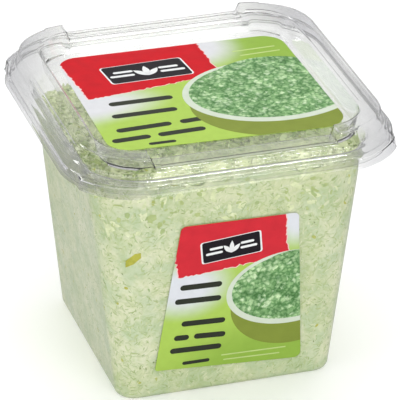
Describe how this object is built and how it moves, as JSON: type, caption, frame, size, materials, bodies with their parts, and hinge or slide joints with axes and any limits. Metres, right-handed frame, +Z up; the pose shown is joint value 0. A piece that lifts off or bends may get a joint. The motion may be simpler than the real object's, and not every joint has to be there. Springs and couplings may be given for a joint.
{
  "type": "coleslaw in a clear tub",
  "caption": "Square clear tub filled with finely chopped green coleslaw, shut with a clear snap lid that has raised rails and a sunken panel, with a label on the lid and one on the front wall.",
  "frame": {"origin": "middle of the tub's base, on the plane it stands on", "axes": "+Z up through the lid, -Y out of the wall that carries the front label, +X to the right of that wall seen from in front"},
  "size_m": [0.1468, 0.1468, 0.1269],
  "materials": {
    "clear_tub": "clear thermoformed polyester plastic, glossy",
    "clear_lid": "clear thermoformed polyester plastic, glossy",
    "coleslaw": "finely chopped pale green cabbage in a creamy dressing, moist",
    "lid_label": "printed film label in white, lime green and red, semi-gloss",
    "front_label": "printed film label in white, lime green and red, semi-gloss"
  },
  "bodies": {
    "root": {"tub": "clear_tub", "lid": "clear_lid", "coleslaw": "coleslaw", "lid_label": "lid_label", "front_label": "front_label"}
  },
  "joints": []
}
